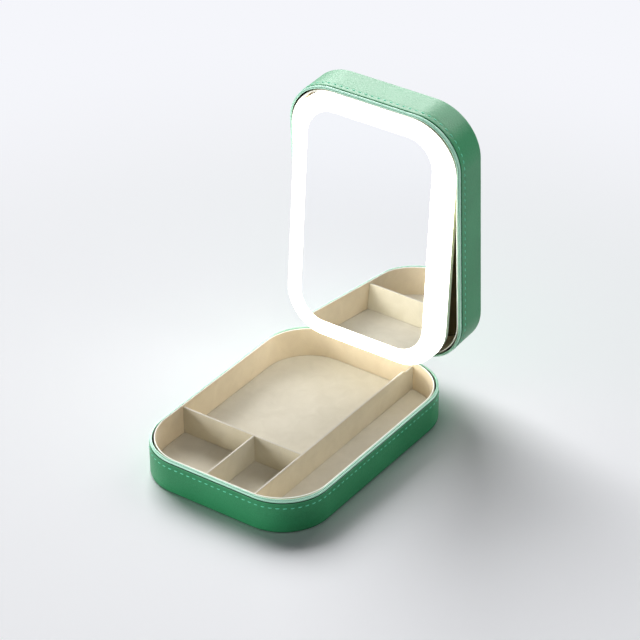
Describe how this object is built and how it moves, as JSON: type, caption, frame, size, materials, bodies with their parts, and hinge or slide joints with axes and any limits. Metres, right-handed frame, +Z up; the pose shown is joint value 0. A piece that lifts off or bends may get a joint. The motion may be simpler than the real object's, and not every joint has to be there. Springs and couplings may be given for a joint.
{
  "type": "vanity box with mirror",
  "caption": "Clamshell travel vanity box: divided tray, friction-hinged lid, and a lit mirror panel that folds out of the lid as it opens.",
  "frame": {"origin": "centre of the tray's underside, on the surface that the box stands on", "axes": "+Z up, +X to the right of a user who faces the mirror's glass, +Y from the front rim towards the lid hinge"},
  "size_m": [0.148, 0.2395, 0.2403],
  "materials": {
    "green_leather": "fine-grained satin synthetic leather",
    "mint_binding": "smooth light-green rolled leather",
    "shell_board": "raw moulded shell",
    "beige_liner": "short-pile suede",
    "cream_suede": "short-pile suede",
    "dark_lining": "short-pile suede",
    "magnet": "nickel plated",
    "hinge_steel": "satin nickel",
    "screw_steel": "plated steel",
    "bracket_metal": "die cast",
    "mirror": "silvered glass",
    "lit_diffuser": "milky, lit from inside",
    "white_plastic": "white reflector",
    "flex_board": "white flexible board",
    "led": "phosphor lens",
    "sage_plastic": "fine matt moulding",
    "battery_wrap": "foil pouch",
    "board_green": "solder mask",
    "copper_pad": "bare copper"
  },
  "bodies": {
    "base": {"base_shell": "shell_board", "base_cover": "green_leather", "base_bottom_cover": "green_leather", "base_binding": "mint_binding", "base_liner": "beige_liner", "base_floor_pad": "cream_suede", "long_divider": "beige_liner", "cross_divider": "beige_liner", "short_divider": "beige_liner", "base_magnets": "magnet", "hinge_base_leaf": "hinge_steel", "hinge_base_rivets": "screw_steel", "hinge_pin": "screw_steel"},
    "lid": {"lid_shell": "shell_board", "lid_cover": "green_leather", "lid_top_cover": "green_leather", "lid_binding": "mint_binding", "lid_liner": "beige_liner", "lid_lining": "dark_lining", "lid_magnets": "magnet", "hinge_lid_leaf": "hinge_steel", "hinge_lid_rivets": "screw_steel", "mirror_brackets": "bracket_metal", "bracket_screws": "screw_steel"},
    "mirror": {"mirror_glass": "mirror", "light_diffuser": "lit_diffuser", "light_tray": "white_plastic", "led_strip": "flex_board", "leds": "led", "mirror_housing": "sage_plastic", "housing_screws": "screw_steel", "pivot_pins": "screw_steel", "battery": "battery_wrap", "circuit_board": "board_green", "board_screws": "screw_steel", "charging_socket": "screw_steel", "touch_sensor": "copper_pad"}
  },
  "joints": [
    {"name": "lid_hinge", "type": "hinge", "parent": "base", "child": "lid", "pos_m": [0, 0.10675, 0.0284], "axis": [-1, 0, 0], "range_deg": [-87, 8]},
    {"name": "mirror_tilt", "type": "hinge", "parent": "lid", "child": "mirror", "pos_m": [0, 0.10676, 0.22692], "axis": [-1, 0, 0], "range_deg": [-7.2, 0.7]}
  ],
  "couplings": [
    {"joint": "mirror_tilt", "follows": "lid_hinge", "ratio": 0.082759}
  ]
}
